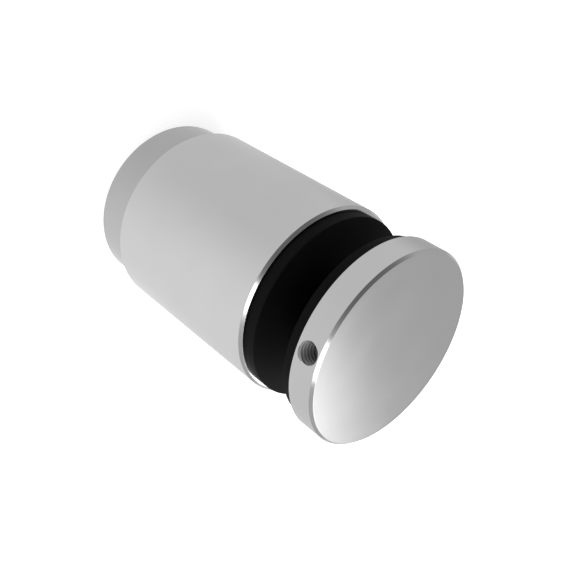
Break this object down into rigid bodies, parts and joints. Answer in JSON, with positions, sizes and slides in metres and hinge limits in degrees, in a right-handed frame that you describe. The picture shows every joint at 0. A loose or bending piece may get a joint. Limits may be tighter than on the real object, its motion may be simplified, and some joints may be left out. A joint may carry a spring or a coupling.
{
  "type": "glass panel standoff",
  "caption": "Round steel standoff that clamps a glass panel off a wall: wall base, screw-adjusted barrel, rubber gaskets, bush and screwed head.",
  "frame": {"origin": "centre of the wall base's rear face", "axes": "+Z along the standoff's axis from the wall to the head, -Y towards the screw hole in the head's rim"},
  "size_m": [0.05, 0.05, 0.0851],
  "materials": {
    "satin_steel": "satin brushed",
    "thread_steel": "as cut",
    "screw_steel": "dark",
    "black_rubber": "matte",
    "black_nylon": "matte"
  },
  "bodies": {
    "base": {"wall_base": "satin_steel"},
    "seat": {"rear_gasket": "black_rubber", "glass_bush": "black_nylon"},
    "barrel": {"barrel": "satin_steel"},
    "pad": {"lock_pad": "black_nylon"},
    "lock": {"lock_screw": "screw_steel"},
    "washer": {"front_gasket": "black_rubber"},
    "head": {"head_disc": "satin_steel", "clamp_stud": "thread_steel", "head_lock_screw": "screw_steel"}
  },
  "joints": [
    {"name": "barrel_travel", "type": "slide", "parent": "base", "child": "seat", "axis": [0, 0, 1], "range_m": [-0.008, 0.006]},
    {"name": "barrel_turn", "type": "hinge", "parent": "seat", "child": "barrel", "pos_m": [0, 0, 0.0368], "axis": [0, 0, 1], "range_deg": [-1920, 1440]},
    {"name": "head_travel", "type": "slide", "parent": "barrel", "child": "washer", "axis": [0, 0, 1], "range_m": [0, 0.012]},
    {"name": "head_turn", "type": "hinge", "parent": "washer", "child": "head", "pos_m": [0, 0, 0.08165], "axis": [0, 0, 1], "range_deg": [0, 2880]},
    {"name": "lock_travel", "type": "slide", "parent": "barrel", "child": "pad", "axis": [0, 1, 0], "range_m": [0, 0.0008]},
    {"name": "lock_turn", "type": "hinge", "parent": "pad", "child": "lock", "pos_m": [0, 0.0216, 0.033], "axis": [0, 1, 0], "range_deg": [0, 360]}
  ],
  "couplings": [
    {"joint": "barrel_travel", "follows": "barrel_turn", "m_per_rad": 0.00023873},
    {"joint": "head_travel", "follows": "head_turn", "m_per_rad": 0.00023873},
    {"joint": "lock_turn", "follows": "lock_travel", "rad_per_m": 7854}
  ]
}
